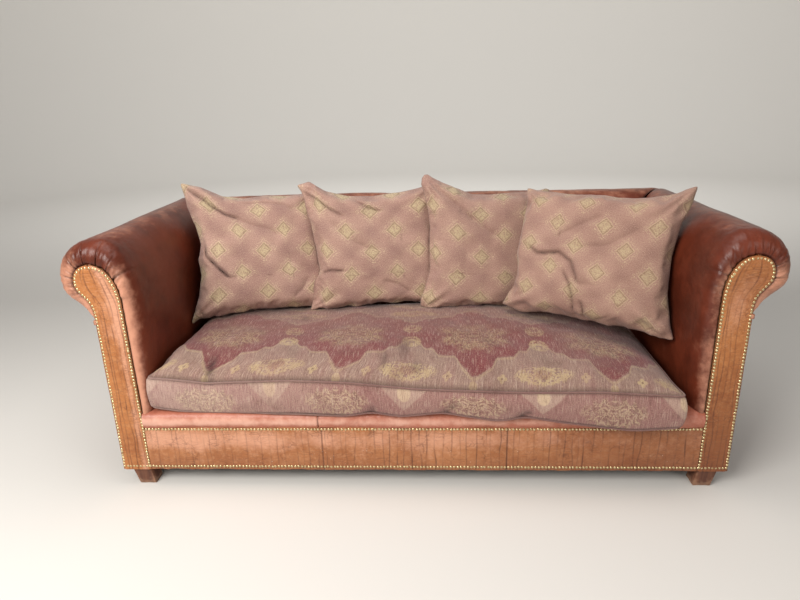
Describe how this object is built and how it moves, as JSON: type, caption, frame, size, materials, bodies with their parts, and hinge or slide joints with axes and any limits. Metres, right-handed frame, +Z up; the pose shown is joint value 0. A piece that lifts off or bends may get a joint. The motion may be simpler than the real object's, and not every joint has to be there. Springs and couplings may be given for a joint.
{
  "type": "worn leather sofa",
  "caption": "Worn leather sofa with rolled scroll arms, nail-trimmed embossed front panels, a long patterned seat cushion, loose back pillows and low block feet.",
  "frame": {"origin": "on the floor, at the middle of the sofa's bounding box as seen from above", "axes": "+X along the sofa towards the arm on the right when seen from the front, +Y from front to back, +Z up"},
  "size_m": [2.186, 0.998, 0.9408],
  "materials": {
    "smooth_leather": "smooth dark red-brown leather, rubbed to pinkish tan on the rounded edges, pleated on the scrolls",
    "embossed_leather": "scale-embossed tan leather with dark creases, cracked and scuffed",
    "nail_brass": "domed nail heads, aged, dull between and bright on top",
    "frame_timber": "raw sawn hardwood",
    "foot_wood": "brown stain, scuffed pale at the edges",
    "spring_steel": "oiled spring wire",
    "hessian": "coarse woven hessian",
    "dust_cloth": "black woven lining",
    "tapestry": "faded plum and khaki woven medallion tapestry, stained and rubbed",
    "pillow_weave": "pinkish taupe dotted weave with small olive-gold diamonds"
  },
  "bodies": {
    "root": {"front_rail": "frame_timber", "back_rail": "frame_timber", "left_side_rail": "frame_timber", "right_side_rail": "frame_timber", "left_back_post": "frame_timber", "right_back_post": "frame_timber", "left_arm_tack_rail": "frame_timber", "right_arm_tack_rail": "frame_timber", "left_arm_top_rail": "frame_timber", "right_arm_top_rail": "frame_timber", "back_top_rail": "frame_timber", "back_tack_rail": "frame_timber", "left_back_upright": "frame_timber", "right_back_upright": "frame_timber", "left_seat_bearer": "frame_timber", "right_seat_bearer": "frame_timber", "left_scroll_board": "frame_timber", "right_scroll_board": "frame_timber", "front_left_corner_block": "frame_timber", "front_right_corner_block": "frame_timber", "back_left_corner_block": "frame_timber", "back_right_corner_block": "frame_timber", "front_left_foot": "foot_wood", "front_right_foot": "foot_wood", "back_left_foot": "foot_wood", "back_right_foot": "foot_wood", "seat_spring_01": "spring_steel", "seat_spring_02": "spring_steel", "seat_spring_03": "spring_steel", "seat_spring_04": "spring_steel", "seat_spring_05": "spring_steel", "seat_spring_06": "spring_steel", "seat_spring_07": "spring_steel", "seat_spring_08": "spring_steel", "seat_spring_09": "spring_steel", "seat_spring_10": "spring_steel", "spring_hessian": "hessian", "seat_platform": "smooth_leather", "dust_cover": "dust_cloth", "front_lip": "smooth_leather", "front_rail_panel": "embossed_leather", "left_facing": "embossed_leather", "right_facing": "embossed_leather", "rail_top_nails": "nail_brass", "bottom_nails": "nail_brass", "left_facing_nails": "nail_brass", "right_facing_nails": "nail_brass", "left_arm_cover": "smooth_leather", "right_arm_cover": "smooth_leather", "inside_back_cover": "smooth_leather", "left_outside_arm_panel": "smooth_leather", "right_outside_arm_panel": "smooth_leather", "outside_back_panel": "smooth_leather", "seat_cushion": "tapestry", "back_pillow_1": "pillow_weave", "back_pillow_2": "pillow_weave", "back_pillow_3": "pillow_weave", "back_pillow_4": "pillow_weave"}
  },
  "joints": []
}
